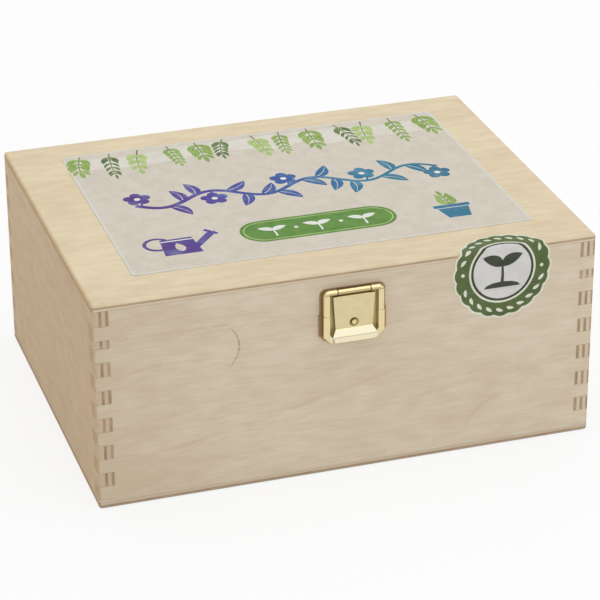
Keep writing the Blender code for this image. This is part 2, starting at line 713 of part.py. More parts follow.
def make_latch_pin():
    name = "latch_pin"
    length = KNUCKLE_WIDTH + 2 * PIN_GRIP
    place = (LATCH_X, FRONT - LATCH_PIN_DEPTH, LATCH_PIN_HEIGHT)
    part(name, rod(name, LATCH_PIN_RADIUS, length), BRASS, place)


# Paper


def make_label():
    left, right = LABEL_LEFT_INSET - BOX_WIDTH / 2, BOX_WIDTH / 2 - LABEL_RIGHT_INSET
    front, rear = FRONT + LABEL_FRONT_INSET, REAR - LABEL_REAR_INSET
    outline = rounded_rectangle(left, front, right, rear, LABEL_CORNER)
    height = BOX_HEIGHT + PAPER_GAP + PAPER / 2
    part("lid_label", plate("lid_label", [outline], PAPER), LABEL_PAPER, (0, 0, height))


def folded(rise):
    """The (y, z) of a point on the seal, by its height measured along the front, round the edge and back."""
    radius = EDGE_RADIUS + PAPER_GAP
    turn = (rise - (BOX_HEIGHT - EDGE_RADIUS)) / radius
    angle = min(max(turn, 0.0), QUARTER)
    y = FRONT + EDGE_RADIUS - radius * math.cos(angle) + radius * max(turn - QUARTER, 0.0)
    z = BOX_HEIGHT - EDGE_RADIUS + radius * math.sin(angle) + radius * min(turn, 0.0)
    return y, z


def make_seal(name, low, high):
    """The part of the scalloped seal between two heights, folded over the lid's front edge."""
    steps = SEAL_SCALLOPS * 6
    bm = bmesh.new()
    rim = []
    for i in range(steps):
        angle = 2 * math.pi * i / steps
        radius = SEAL_RADIUS + SEAL_SCALLOP_DEPTH * (abs(math.cos(SEAL_SCALLOPS * angle / 2)) - LOBE_SHARE)
        rim.append(bm.verts.new((SEAL_X + radius * math.cos(angle), SEAL_HEIGHT + radius * math.sin(angle), 0)))
    bm.faces.new(rim)
    start = BOX_HEIGHT - EDGE_RADIUS
    arc_length = (EDGE_RADIUS + PAPER_GAP) * QUARTER
    folds = [start + arc_length * i / ROUND_SEGMENTS for i in range(ROUND_SEGMENTS + 1)]
    cuts = [(fold, False, False) for fold in folds] + [(low, True, False), (high, False, True)]
    for height, below, above in cuts:
        everything = bm.verts[:] + bm.edges[:] + bm.faces[:]
        bmesh.ops.bisect_plane(
            bm,
            geom=everything,
            plane_co=(0, height, 0),
            plane_no=(0, 1, 0),
            clear_inner=below,
            clear_outer=above,
        )
    for vertex in bm.verts:
        y, z = folded(vertex.co.y)
        vertex.co = (vertex.co.x, y, z)
    mesh = bpy.data.meshes.new(name)
    bm.to_mesh(mesh)
    bm.free()
    seal = part(name, mesh, SEAL_PAPER)
    modifier = seal.modifiers.new("paper", "SOLIDIFY")
    modifier.thickness = PAPER
    modifier.offset = 1.0
    modifier.use_even_offset = True


def build():
    envelope = make_envelope()
    base = make_walls("base", BASE_LOW, BASE_HIGH, 0.0, envelope)
    lid = make_walls("lid", LID_LOW, LID_HIGH, SAW_KERF, envelope)
    make_panel("bottom_panel", -OVERCUT, PANEL, envelope)
    make_panel("lid_panel", BOX_HEIGHT - PANEL, BOX_HEIGHT + OVERCUT, envelope)
    make_dividers()
    make_hinge("left", -HINGE_X, base["rear"], lid["rear"])
    make_hinge("right", HINGE_X, base["rear"], lid["rear"])
    make_latch_plate(lid["front"])
    make_keeper(base["front"])
    make_latch_pin()
    make_flap()
    make_spring()
    make_rivet()
    make_label()
    make_seal("base_seal", 0.0, BASE_HIGH)
    make_seal("lid_seal", LID_LOW, 2 * BOX_HEIGHT)


build()
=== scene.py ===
"""The looks of a plywood seed organizer box: its boards, brass latch and hinges, printed label and seal."""

import math
import random

import bmesh
import bpy
from mathutils import Matrix, Vector
from mathutils.geometry import delaunay_2d_cdt


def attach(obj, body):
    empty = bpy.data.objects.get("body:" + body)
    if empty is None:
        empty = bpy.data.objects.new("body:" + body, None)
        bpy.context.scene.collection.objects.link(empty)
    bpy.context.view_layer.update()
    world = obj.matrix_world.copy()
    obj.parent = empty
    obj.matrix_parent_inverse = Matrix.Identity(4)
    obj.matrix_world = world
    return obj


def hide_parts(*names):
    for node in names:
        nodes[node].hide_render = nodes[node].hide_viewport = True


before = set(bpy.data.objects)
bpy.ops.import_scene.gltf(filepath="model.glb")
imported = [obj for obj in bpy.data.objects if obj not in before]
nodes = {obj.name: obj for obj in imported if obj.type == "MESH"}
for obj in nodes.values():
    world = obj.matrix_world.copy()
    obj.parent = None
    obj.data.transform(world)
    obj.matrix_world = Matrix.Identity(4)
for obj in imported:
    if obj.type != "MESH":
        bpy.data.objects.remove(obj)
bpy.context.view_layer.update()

MM = 0.001

# Box, in millimetres
WIDTH = 240.0
DEPTH = 181.4
HEIGHT = 103.3
SEAM = 82.6
SEAM_GAP = 0.1
WALL_PLIES = 5
WALL_PLY = 1.5
PANEL = 3.2
PANEL_PLIES = 3
EDGE_RADIUS = 1.4
DIVIDER = 3.0
CROSS_DIVIDER_Y = 28.25
FRONT = -DEPTH / 2
REAR = DEPTH / 2
SIDE = WIDTH / 2

# Latch, in millimetres
LATCH_X = 0.8
RIVET_Z = 78.3
KNUCKLE_HALF = 7.85
CREASE_LOW, CREASE_HIGH = 91.9, 92.9
FLAP_HALF = 11.0
BEVEL_TOP = 75.4
LIP_TOP = 72.2
BEAD_INSIDE_HALF = 12.4
TOP_BAR_Z = 92.9

# Paper, in millimetres
PAPER = 0.15
PAPER_GAP = 0.05
LABEL_LEFT, LABEL_RIGHT = -95.0, 98.0
LABEL_FRONT, LABEL_REAR = -66.9, 73.1
LABEL_CORNER = 1.5
BORDER = 1.3
SEAL_X = 73.6
SEAL_Z = 91.8
SEAL_RADIUS = 24.1
SEAL_LOBES = 20
LOBE_DEPTH = 0.9
LOBE_MIDDLE = 0.55
FOLD_STEPS = 8


def linear(red, green, blue):
    """A colour of 0 to 255 per channel, as the renderer's linear values."""
    shares = [channel / 255 for channel in (red, green, blue)]
    return tuple(s / 12.92 if s <= 0.04045 else ((s + 0.055) / 1.055) ** 2.4 for s in shares)


# Shader maths


class Value:
    """A node's output, with Python's operators for maths on it."""

    def __init__(self, graph, output):
        self.graph = graph
        self.output = output

    def maths(self, operation, *values):
        return self.graph.node("Math", {"operation": operation}, dict(enumerate(values)))

    def __add__(self, other):
        return self.maths("ADD", self, other)

    def __radd__(self, other):
        return self.maths("ADD", other, self)

    def __sub__(self, other):
        return self.maths("SUBTRACT", self, other)

    def __rsub__(self, other):
        return self.maths("SUBTRACT", other, self)

    def __mul__(self, other):
        return self.maths("MULTIPLY", self, other)

    def __rmul__(self, other):
        return self.maths("MULTIPLY", other, self)

    def __truediv__(self, other):
        return self.maths("DIVIDE", self, other)

    def __abs__(self):
        return self.maths("ABSOLUTE", self)

    def __gt__(self, other):
        return self.maths("GREATER_THAN", self, other)

    def __mod__(self, other):
        return self.maths("FLOORED_MODULO", self, other)

    def floor(self):
        return self.maths("FLOOR", self)

    def exp(self):
        return self.maths("EXPONENT", self)

    def root(self):
        return self.maths("SQRT", self)

    def least(self, other):
        return self.maths("MAXIMUM", self, other)

    def most(self, other):
        return self.maths("MINIMUM", self, other)

    def rise(self, low, high):
        """0 below low and 1 above high, with a smooth rise between them."""
        settings = {"interpolation_type": "SMOOTHSTEP"}
        sockets = {"Value": self, "From Min": low, "From Max": high}
        return self.graph.node("MapRange", settings, sockets)

    def fall(self, low, high):
        return 1.0 - self.rise(low, high)

    def near(self, place, full, gone):
        """1 within the distance full of a place, and 0 beyond the distance gone."""
        return abs(self - place).fall(full, gone)


class Graph:
    """A tree of nodes in the making."""

    def __init__(self, tree):
        self.tree = tree

    def node(self, kind, settings, sockets, output=0):
        made = self.tree.nodes.new("ShaderNode" + kind)
        for name, value in settings.items():
            if name == "stops":
                self.set_stops(made.color_ramp, value)
            else:
                setattr(made, name, value)
        for key, value in sockets.items():
            self.join(value, self.socket(made.inputs, key))
        return Value(self, self.socket(made.outputs, output))

    def set_stops(self, ramp, stops):
        for place, colour in stops[2:]:
            ramp.elements.new(place)
        for element, (place, colour) in zip(ramp.elements, stops):
            element.position = place
            element.color = (*colour, 1.0)

    def socket(self, sockets, key):
        if isinstance(key, int):
            return sockets[key]
        named = [s for s in sockets if s.identifier == key]
        return named[0] if named else sockets[key]

    def join(self, value, socket):
        if isinstance(value, Value):
            self.tree.links.new(value.output, socket)
        elif socket.type == "RGBA":
            socket.default_value = (*value, 1.0)
        else:
            socket.default_value = value

    def background_rays(self):
        """1 for the rays that show the background: the camera's, and those off gloss and through glass."""
        camera, glossy, through = (
            self.node("LightPath", {}, {}, f"Is {kind} Ray") for kind in ("Camera", "Glossy", "Transmission")
        )
        return camera.least(glossy).least(through)


class Finish(Graph):
    """A material in the making."""

    def __init__(self, name, uniform):
        self.material = bpy.data.materials.new(name)
        self.material.use_nodes = True
        super().__init__(self.material.node_tree)
        self.shader = self.tree.nodes["Principled BSDF"]
        for socket, value in uniform.items():
            self.shader.inputs[socket].default_value = value

    def give(self, **sockets):
        """Feeds what changes over the surface to the shader."""
        for name, value in sockets.items():
            self.join(value, self.shader.inputs[name.replace("_", " ").title()])
        return self.material

    def place(self):
        """The place on the piece in millimetres, as x, y and z."""
        metres = self.node("TexCoord", {}, {}, "Object")
        return self.parts(self.node("VectorMath", {"operation": "SCALE"}, {0: metres, "Scale": 1 / MM}))

    def facing(self):
        """The way the surface faces, as x, y and z."""
        return self.parts(self.node("TexCoord", {}, {}, "Normal"))

    def parts(self, vector):
        return {axis: self.node("SeparateXYZ", {}, {"Vector": vector}, axis) for axis in "XYZ"}

    def vector(self, x, y, z):
        return self.node("CombineXYZ", {}, {"X": x, "Y": y, "Z": z})

    def noise(self, vector, scale=1.0, detail=2.0, roughness=0.5, distortion=0.0):
        sockets = {"Vector": vector, "Scale": scale, "Detail": detail}
        sockets.update({"Roughness": roughness, "Distortion": distortion})
        return self.node("TexNoise", {}, sockets)

    def mix(self, share, first, second, blend="MIX"):
        settings = {"data_type": "RGBA", "blend_type": blend}
        sockets = {"Factor_Float": share, "A_Color": first, "B_Color": second}
        return self.node("Mix", settings, sockets, "Result_Color")

    def coats(self, colour, *layers):
        """A colour under further coats, each its share and its colour of 0 to 255 per channel."""
        for share, tone in layers:
            colour = self.mix(share, colour, linear(*tone))
        return colour

    def bump(self, height, depth, strength=1.0):
        """A bump of the given depth in millimetres."""
        sockets = {"Height": height, "Distance": depth * MM, "Strength": strength}
        return self.node("Bump", {}, sockets)


# Wood


FACE_WOOD = {"pale": linear(218, 204, 182), "deep": linear(202, 184, 158), "streaks": 0.48}
LID_WOOD = {"pale": linear(228, 212, 180), "deep": linear(208, 189, 153), "streaks": 0.3}
# Painted shade: the bottom board's tones are darker and greyer, standing in for the shade along the box's
# bottom edge.
SHADED_BOTTOM_WOOD = {"pale": linear(182, 165, 144), "deep": linear(164, 146, 125), "streaks": 0.48}
CUT_WOOD = {"pale": linear(180, 156, 127), "deep": linear(150, 126, 98)}
CORE_WOOD = (194, 171, 142)
BACK_WOOD = (210, 194, 169)
RING_WOOD = (150, 128, 100)
FLECK_WOOD = (150, 118, 84)
GLUE = (126, 98, 68)
# The seam's sawn edges are pale fresh wood. The band around the seam is also painted lighter, as painted
# light against the shade in the seam's gap.
SAWN_AND_LIT_WOOD = (236, 222, 198)
# Painted shade: wood facing sideways is painted darker and warmer, standing in for the shade and warm bounce
# light on the box's sides.
PAINTED_SIDE_SHADE = (1.0, 0.865, 0.675)

# The growth ring's tip on the front, in millimetres
RING_X, RING_Z = -52.1, 73.3


def plywood(name, grain, stack, face, inward, plies, ply, tones, seed, ends=0.8, sanded=0.0, core=0.8):
    """A plywood board. Its face's fibres run along grain, and its plies stack inward from face along stack.
    How dark its cut ends are is given by ends, and how brown its inner plies are by core.
    Its face ply is sanded pale to the given depth."""
    wood = Finish(name, {"IOR": 1.45})
    place, facing = wood.place(), wood.facing()
    across = next(axis for axis in "XYZ" if axis not in (grain, stack))
    depth = ((place[stack] - face) * inward).least(0.01)
    layer = depth / (ply * 1.002)
    rank = layer.floor()
    inner = rank > 0.5
    outermost = 1.0 - inner
    back = rank > plies - 1.5
    crossed = rank % 2.0
    along = place[grain] + (place[across] - place[grain]) * crossed
    beside = place[across] + (place[grain] - place[across]) * crossed
    end_grain = abs(facing[grain] + (facing[across] - facing[grain]) * crossed).rise(0.45, 0.8)
    level = rank * 7.3 + seed

    broad = wood.noise(wood.vector(along * 0.006, beside * 0.03, level), detail=2.0)
    drift = wood.noise(wood.vector(along * 0.0035, beside * 0.028, level + 3.1), distortion=0.4)
    rings = (abs((drift * 11.0) % 1.0 - 0.5) * 2.0).fall(0.0, 0.35)
    fibre = wood.noise(wood.vector(along * 0.07, beside * 1.3, depth * 1.3), detail=3.0, roughness=0.65)
    fleck = wood.noise(wood.vector(along * 0.35, beside * 4.5, depth * 4.5), detail=1.0).rise(0.68, 0.76)
    mottle = wood.noise(wood.vector(along * 0.07, beside * 0.2, level + 1.7), detail=2.0)
    shade = broad.rise(0.3, 0.7) * 0.28 + fibre.rise(0.3, 0.75) * tones["streaks"]
    shade = shade + mottle.rise(0.3, 0.7) * 0.42 + rings * 0.12 - 0.1
    ring_tip = 0.0
    if name == "front_board":
        arcs, ring_tip = front_figure(place, fibre, mottle)
        shade = shade + arcs * outermost
        ring_tip = ring_tip * outermost
    above_floor = place["Z"].rise(5.0, 6.0) if stack != "Z" else 1.0
    long_grain = wood.coats(
        wood.mix(shade, tones["pale"], tones["deep"]),
        (ring_tip, RING_WOOD),
        (fleck * 0.2, FLECK_WOOD),
        (inner * (1.0 - back) * above_floor * core, CORE_WOOD),
        (back * 0.8, BACK_WOOD),
    )

    pore = wood.noise(wood.vector(beside * 3.0, depth * 5.0, along * 0.4), detail=2.0)
    patch = wood.noise(wood.vector(beside * 0.11, depth * 0.5, seed), detail=1.0)
    end_colour = wood.mix((pore * 0.4 + patch * 0.6).rise(0.35, 0.7), CUT_WOOD["deep"], CUT_WOOD["pale"])
    within_ply = (layer % 1.0).near(0.5, 0.3, 0.56)
    bared = depth.rise(sanded, sanded + 0.4) * (1.0 - outermost * sanded)
    stripe = bared * within_ply * ends * above_floor
    on_edge = abs(facing[stack]).fall(0.3, 0.7)
    from_line = abs((layer + 0.5) % 1.0 - 0.5) * ply
    glue_line = from_line.fall(0.04, 0.12) * on_edge * (depth > ply * 0.5)
    # Pale band at the seam: partly the sawn edges' own fresh wood, partly painted light against the gap's
    # shade.
    sawn_and_lit = place["Z"].near(SEAM, 0.15, 0.6)
    colour = wood.mix(end_grain * stripe, long_grain, end_colour)
    colour = wood.coats(colour, (glue_line * 0.12 * ends, GLUE), (sawn_and_lit * 0.25, SAWN_AND_LIT_WOOD))
    # Painted shade: faces that face sideways are multiplied by the painted side shade.
    colour = wood.mix(abs(facing["X"]).rise(0.3, 0.8), colour, wood.mix(1.0, colour, PAINTED_SIDE_SHADE, "MULTIPLY"))

    grit = fibre * 0.7 + fleck * -0.5
    rough = 0.5 + 0.16 * fibre + end_grain * 0.12
    return wood.give(base_color=colour, roughness=rough, normal=wood.bump(grit, 0.05, 0.5))


def front_figure(place, wobble, mottle):
    """The front veneer's figure: its arcs, as shares of the deep tone, plus a darkening towards the left, and
    a growth ring's dark tip.
    """
    x = place["X"]
    z = place["Z"] + wobble * 2.0
    rising = z.near(44.4 + x * 0.245 + x * x * 0.0004, 0.3, 1.7) * x.fall(30.0, 60.0)
    bow_start, bow_top, bow_height, bow_length = 54.0, 31.0, 23.0, 9.5
    bow = bow_top - ((x - bow_start) / -bow_length).exp() * bow_height
    bowed = z.near(bow, 0.3, 1.9) * x.rise(bow_start, bow_start + 4.0)

    up = place["Z"] - RING_Z
    tip_line = RING_X - up * up * 0.0447 - wobble * 1.1
    tip = x.near(tip_line, 0.1, 0.75) * abs(up).fall(8.6, 10.6)
    from_dip = x + 85.0
    upper_limb = up.near(11.5, 0.1, 1.2)
    lower_limb = up.near(-3.8 - from_dip * from_dip * 0.0071, 0.1, 1.2)
    limbs = (upper_limb + lower_limb) * x.fall(-60.0, -55.0)

    broken = mottle.rise(0.25, 0.6)
    # Darker towards the left.
    deeper_left = x.fall(-125.0, -45.0) * 0.42
    arcs = (rising * 0.3 + bowed * 0.3 + limbs * 0.6) * broken
    return arcs + deeper_left, tip * (0.15 + wobble.rise(0.42, 0.54) * 0.55)


def dress(finish, *names):
    for name in names:
        for slot in nodes[name].material_slots:
            slot.material = finish


def dress_walls():
    sides = {
        "front": ("X", "Y", FRONT, 1.0, 0.45, 0.6, 0.8),
        "rear": ("X", "Y", REAR, -1.0, 0.45, 0.6, 0.8),
        "left": ("Y", "X", -SIDE, 1.0, 1.0, 0.6, 0.8),
        "right": ("Y", "X", SIDE, -1.0, 1.0, 0.0, 0.2),
    }
    for i, (side, (grain, stack, face, inward, ends, sanded, core)) in enumerate(sides.items()):
        laid = (grain, stack, face, inward, WALL_PLIES, WALL_PLY)
        finish = plywood(f"{side}_board", *laid, FACE_WOOD, 5.7 * i, ends, sanded, core)
        dress(finish, f"base_{side}_wall", f"lid_{side}_wall")


def dress_panels():
    plies = (PANEL_PLIES, PANEL / PANEL_PLIES)
    dress(plywood("lid_board", "X", "Z", HEIGHT, -1.0, *plies, LID_WOOD, 31.0, 0.7, 0.8), "lid_panel")
    # The bottom board takes the darker tones painted for the shade along the bottom edge.
    dress(plywood("bottom_board", "X", "Z", 0.0, 1.0, *plies, SHADED_BOTTOM_WOOD, 43.0), "bottom_panel")
    plies = (PANEL_PLIES, DIVIDER / PANEL_PLIES)
    face = DIVIDER / 2
    dress(plywood("centre_board", "Y", "X", -face, 1.0, *plies, FACE_WOOD, 51.0), "centre_divider")
    for i, y in enumerate((-CROSS_DIVIDER_Y, CROSS_DIVIDER_Y)):
        finish = plywood(f"cross_board_{i + 1}", "X", "Y", y - face, 1.0, *plies, FACE_WOOD, 60.0 + 9.0 * i)
        dress(finish, f"cross_divider_{i + 1}")


# Metal


def brass_plating(name, latch=False):
    """Bright brass plating with a little polishing haze. On the latch, painted highlights and painted shade
    are laid over it, and its low places near the wood are painted darker.
    """
    brass = Finish(name, {"IOR": 1.5})
    place = brass.place()
    haze = brass.noise(brass.vector(place["X"], place["Y"], place["Z"]), scale=0.35, detail=3.0)
    brushing = brass.noise(brass.vector(place["X"] * 6.0, place["Y"] * 2.0, place["Z"] * 0.5), detail=2.0)
    colour = brass.mix(haze, linear(225, 210, 166), linear(212, 196, 150))
    rough = 0.12 + 0.07 * haze + 0.04 * brushing
    metal = 1.0 - haze * 0.02
    if latch:
        # Painted shade: the low places near the wood are painted darker, and made rougher and less metallic.
        low = (FRONT - place["Y"]).fall(1.0, 2.8)
        colour = latch_tones(brass, place, colour, low)
        rough = rough + low * 0.2
        metal = 1.0 - low * 0.6
    return brass.give(base_color=colour, roughness=rough, metallic=metal, normal=brass.bump(haze, 0.012, 0.5))


def latch_tones(brass, place, colour, low):
    """The latch's painted light: painted highlights where it stands high and on the lip, the bevel painted
    paler to set its highlight, a painted shade line under the bevel, the top bar painted darker to hold down
    its highlight, and painted shade near the wood.
    """
    z, height = place["Z"], FRONT - place["Y"]
    off_middle = abs(place["X"] - LATCH_X)
    high = height.rise(3.1, 3.5)
    flap = off_middle.fall(FLAP_HALF, FLAP_HALF + 0.3) * height.rise(3.02, 3.2)
    # Painted highlights on the high bead and the lip, the bevel painted to set its highlight's colour, a
    # painted shade line where the bevel meets the lip, and the top bar painted darker to hold down its
    # highlight.
    colour = brass.coats(
        colour,
        (high * 0.6, (238, 219, 172)),
        (flap * z.fall(BEVEL_TOP - 0.2, BEVEL_TOP + 0.2), (190, 184, 160)),
        (flap * z.fall(LIP_TOP - 0.3, LIP_TOP + 0.3), (241, 230, 196)),
        (flap * z.near(LIP_TOP + 0.1, 0.1, 0.4) * 0.6, (160, 152, 120)),
        (z.rise(TOP_BAR_Z - 0.3, TOP_BAR_Z + 0.3) * high, (192, 172, 130)),
    )
    # Painted shade near the wood, with a lighter painted stripe along the foot's rim and a lighter painted
    # shade in the groove inside the bead.
    rim = height.rise(0.3, 0.6) * height.fall(0.7, 1.3)
    inside = off_middle.fall(BEAD_INSIDE_HALF, BEAD_INSIDE_HALF + 0.5) * z.fall(TOP_BAR_Z - 0.4, TOP_BAR_Z)
    painted_shade_tone = brass.coats(linear(112, 84, 46), (rim, (158, 124, 78)), (inside, (200, 182, 124)))
    # Painted shade in the crease, at the knuckle's ends and round the rivet.
    return brass.coats(brass.mix(low, colour, painted_shade_tone), (painted_shade_places(place), (112, 95, 48)))


def painted_shade_places(place):
    """Painted shade in the crease, at the knuckle's ends and round the rivet, heavier on the rivet ring's
    upper left.
    """
    z = place["Z"]
    right, up = place["X"] - LATCH_X, z - RIVET_Z
    off_middle = abs(right)
    crease = z.rise(CREASE_LOW - 0.2, CREASE_LOW + 0.2) * z.fall(CREASE_HIGH - 0.1, CREASE_HIGH + 0.2)
    knuckle_end = off_middle.near(KNUCKLE_HALF, 0.15, 0.5) * z.rise(CREASE_LOW, CREASE_HIGH)
    radius = (right * right + up * up).root()
    # The rivet ring's painted shade is heavier on its upper left, where less light falls.
    ring = radius.rise(0.95, 1.25) * radius.fall(2.1, 2.35) * (0.8 + (up - right) * 0.14)
    dark = crease * off_middle.fall(10.8, 11.4) * 0.8 + knuckle_end * 0.8 + ring
    return dark.most(1.0) * (FRONT - place["Y"]).rise(1.6, 2.0)


def spring_steel():
    steel = Finish("spring_steel", {"Metallic": 1.0})
    place = steel.place()
    brushing = steel.noise(steel.vector(place["X"] * 7.0, place["Y"], place["Z"] * 0.4), detail=2.0)
    colour = steel.mix(brushing, linear(176, 177, 178), linear(140, 141, 143))
    return steel.give(base_color=colour, roughness=0.24 + 0.12 * brushing)


# Paper


def printed_paper(name, first, second):
    """Printed paper: its tone drifts between two colours, and its face has a faint tooth."""
    paper = Finish(name, {"IOR": 1.4})
    place = paper.place()
    where = paper.vector(place["X"], place["Y"], place["Z"])
    wash = paper.noise(where, scale=0.16, detail=4.0, roughness=0.6)
    tooth = paper.noise(where, scale=4.0, detail=3.0)
    colour = paper.mix(wash.rise(0.3, 0.7) * 0.85 + tooth * 0.15, first, second)
    return paper.give(base_color=colour, roughness=0.62 + 0.16 * tooth, normal=paper.bump(tooth, 0.012, 0.6))


def dusk_ink():
    """Ink that runs from violet on the left through blue to teal on the right."""
    paper = Finish("dusk_ink", {"IOR": 1.4})
    place = paper.place()
    where = paper.vector(place["X"], place["Y"], place["Z"])
    wash = paper.noise(where, scale=0.13, detail=3.0)
    tooth = paper.noise(where, scale=4.0, detail=3.0)
    along = (place["X"] + 85.0) / 170.0 + (wash - 0.5) * 0.35
    stops = [
        (0.0, linear(74, 38, 116)),
        (0.28, linear(72, 60, 144)),
        (0.5, linear(40, 82, 148)),
        (0.75, linear(32, 116, 146)),
        (1.0, linear(28, 100, 124)),
    ]
    colour = paper.node("ValToRGB", {"stops": stops}, {"Fac": along})
    colour = paper.coats(colour, (wash.rise(0.45, 0.8) * 0.3, (170, 180, 210)))
    return paper.give(base_color=colour, roughness=0.6 + 0.14 * tooth, normal=paper.bump(tooth, 0.012, 0.6))


INKS = {
    "label_paper": ((213, 206, 192), (204, 196, 181)),
    "label_border": ((216, 215, 207), (209, 208, 200)),
    "pale_wash": ((232, 232, 228), (220, 222, 214)),
    "mist": ((221, 218, 208), (213, 206, 192)),
    "fresh_leaf": ((150, 176, 92), (112, 146, 62)),
    "deep_leaf": ((98, 126, 66), (62, 86, 48)),
    "soft_leaf": ((188, 204, 142), (158, 184, 108)),
    "olive_stem": ((124, 132, 84), (92, 100, 62)),
    "plaque_green": ((100, 142, 62), (78, 122, 46)),
    "seal_green": ((91, 108, 62), (74, 93, 50)),
    "seal_paper": ((224, 223, 206), (212, 211, 192)),
    "seal_disc": ((214, 211, 208), (204, 202, 200)),
    "seal_dark": ((66, 74, 54), (48, 56, 42)),
}


def make_inks():
    inks = {name: printed_paper(name, linear(*a), linear(*b)) for name, (a, b) in INKS.items()}
    inks["dusk_ink"] = dusk_ink()
    return inks


def polar(angle, radius=1.0):
    return Vector((math.cos(angle), math.sin(angle))) * radius


def circle(centre, radius, sides, stretch=1.0):
    x, y = centre
    turns = [math.tau * i / sides for i in range(sides)]
    return [Vector((x + radius * stretch * math.cos(a), y + radius * math.sin(a))) for a in turns]


def rounded(left, low, right, high, radius, steps=5):
    points = []
    for x, y, start in ((right, high, 0), (left, high, 1), (left, low, 2), (right, low, 3)):
        centre = Vector((x - math.copysign(radius, x - (left + right) / 2), 0))
        centre.y = y - math.copysign(radius, y - (low + high) / 2)
        for i in range(steps + 1):
            points.append(centre + polar((start + i / steps) * math.pi / 2, radius))
    return points


def area_of(outline):
    ahead = outline[1:] + outline[:1]
    return sum(a.x * b.y - b.x * a.y for a, b in zip(outline, ahead)) / 2


class Artwork:
    """Flat inked shapes, in millimetres. A later shape covers an earlier one."""

    def __init__(self, sheet, outline):
        self.shapes = [(sheet, outline)]

    def ink(self, name, outline):
        self.shapes.append((name, outline))

    def polygon(self, name, middle, *points):
        self.ink(name, [middle + Vector(p) for p in points])

    def stem(self, name, path, start, end):
        """A line along a path whose width runs from start to end."""
        left, right = [], []
        for i, point in enumerate(path):
            ahead = path[min(i + 1, len(path) - 1)] - path[max(i - 1, 0)]
            side = Vector((-ahead.y, ahead.x)).normalized()
            reach = (start + (end - start) * i / (len(path) - 1)) / 2
            left.append(point + side * reach)
            right.append(point - side * reach)
        self.ink(name, left + right[::-1])

    def leaf(self, name, foot, angle, length, width, vein=None, bend=0.0):
        """A pointed leaf, with a thin vein where one is named."""
        steps = 8
        middle, left, right = [], [], []
        for i in range(steps + 1):
            t = i / steps
            turn = angle + bend * (t - 0.5)
            point = foot + polar(turn, length * t)
            side = Vector((-math.sin(turn), math.cos(turn)))
            reach = width / 2 * math.sin(math.pi * t ** 0.85) ** 0.8 if 0 < i < steps else 0.0
            middle.append(point)
            left.append(point + side * reach)
            right.append(point - side * reach)
        self.ink(name, left + right[-2:0:-1])
        if vein:
            self.stem(vein, middle[1:-1], width * 0.09, width * 0.03)

    def sprig(self, foot, angle, length, pairs, leaf, ink, vein, bend=0.0):
        """A stem with leaves in pairs, smaller towards the tip, and one leaf at the end."""
        steps = 12
        leaf_length, leaf_width = leaf
        path = [foot]
        for i in range(steps):
            path.append(path[-1] + polar(angle + bend * i / steps, length / steps))
        self.stem("olive_stem", path, 0.8, 0.35)
        for i in range(pairs):
            t = (i + 1) / (pairs + 1)
            at = path[round(t * steps)]
            turn = angle + bend * t
            size = 1.0 - 0.45 * t
            for side in (-1, 1):
                spread = side * math.radians(48)
                self.leaf(ink, at, turn + spread, leaf_length * size, leaf_width * size, vein, -side * 0.5)
        self.leaf(ink, path[-2], angle + bend, leaf_length * 0.7, leaf_width * 0.6, vein)

    def blossom(self, centre, petals, radius, ink, eye):
        for i in range(petals):
            out = polar(math.tau * i / petals + 0.3, radius)
            self.ink(ink, circle(centre + out * 0.58, radius * 0.4, 16))
        self.ink(ink, circle(centre, radius * 0.4, 16))
        self.ink(eye, circle(centre, radius * 0.22, 12))

    def seedling(self, foot, height, ink):
        top = foot + Vector((0, height * 0.55))
        self.stem(ink, [foot, foot.lerp(top, 0.5) + Vector((0.2, 0)), top], height * 0.1, height * 0.07)
        for angle, bend in ((40, -0.4), (140, 0.4)):
            self.leaf(ink, top, math.radians(angle), height * 0.72, height * 0.36, None, bend)


def flat_print(artwork, inks):
    """A flat mesh of the artwork whose faces keep to the shapes' edges. Returns it with its materials."""
    points, faces = [], []
    for name, outline in artwork.shapes:
        ordered = outline if area_of(outline) > 0 else outline[::-1]
        faces.append(list(range(len(points), len(points) + len(ordered))))
        points += [Vector(p) for p in ordered]
    spots, edges, cells, _, _, owners = delaunay_2d_cdt(points, [], faces, 1, 1e-4)
    names = sorted({name for name, outline in artwork.shapes})
    bm = bmesh.new()
    verts = [bm.verts.new((spot.x, spot.y, 0)) for spot in spots]
    for cell, owner in zip(cells, owners):
        if owner:
            face = bm.faces.new([verts[i] for i in cell])
            face.material_index = names.index(artwork.shapes[max(owner)][0])
    bmesh.ops.delete(bm, geom=[v for v in bm.verts if not v.link_faces], context="VERTS")
    return bm, [inks[name] for name in names]


def thicken(bm, bottom, top, back_index):
    """Closes a flat print into a sheet between two heights."""
    rim = [edge for edge in bm.edges if edge.is_boundary]
    for vert in bm.verts:
        vert.co.z = top
    walls = bmesh.ops.extrude_edge_only(bm, edges=rim)["geom"]
    low = [v for v in walls if isinstance(v, bmesh.types.BMVert)]
    for vert in low:
        vert.co.z = bottom
    loop = [e for e in walls if isinstance(e, bmesh.types.BMEdge)]
    made = bmesh.ops.contextual_create(bm, geom=loop)["faces"]
    for face in made + [f for f in walls if isinstance(f, bmesh.types.BMFace)]:
        face.material_index = back_index
    bmesh.ops.recalc_face_normals(bm, faces=bm.faces)


def piece(name, bm, materials, body, *replaced):
    """Makes a piece of the finished bmesh, in metres, that rides on a body and replaces nodes."""
    bmesh.ops.scale(bm, vec=(MM, MM, MM), verts=bm.verts)
    mesh = bpy.data.meshes.new(name)
    bm.to_mesh(mesh)
    bm.free()
    for finish in materials:
        mesh.materials.append(finish)
    made = bpy.data.objects.new(name, mesh)
    bpy.context.scene.collection.objects.link(made)
    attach(made, body)
    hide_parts(*replaced)
    return made


